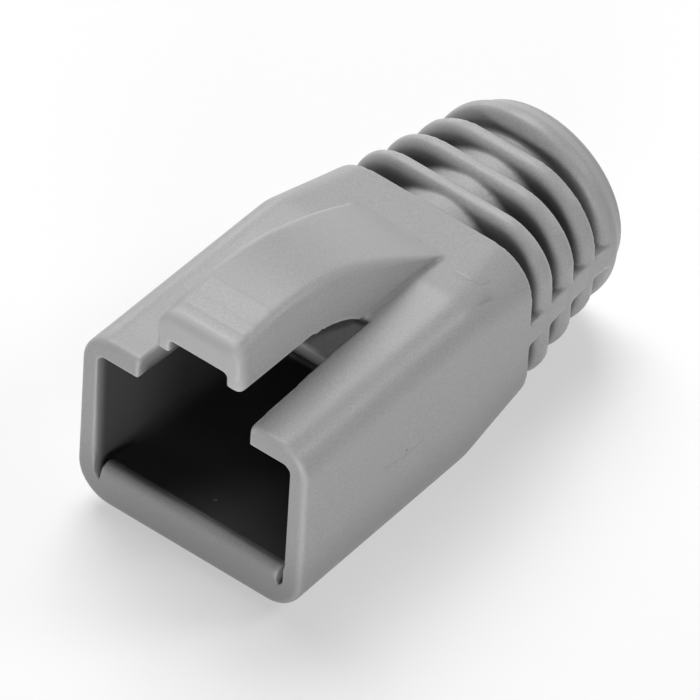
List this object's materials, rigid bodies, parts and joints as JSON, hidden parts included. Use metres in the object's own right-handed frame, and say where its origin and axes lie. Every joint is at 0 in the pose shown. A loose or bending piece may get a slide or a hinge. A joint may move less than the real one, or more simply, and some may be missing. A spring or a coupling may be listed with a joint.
{
  "type": "rj45 strain relief boot",
  "caption": "Moulded strain relief boot that slips over a modular plug, with an arched latch cover and a ribbed cable tail.",
  "frame": {"origin": "middle of the bounding box on the underside that the boot rests on", "axes": "+Y runs from the open front to the cable end, +Z points from the flat underside to the latch cover, +X is to the right seen from the open front"},
  "size_m": [0.014, 0.0274, 0.0155],
  "materials": {
    "boot": "soft satin grey moulding"
  },
  "bodies": {
    "root": {"boot": "boot"}
  },
  "joints": []
}
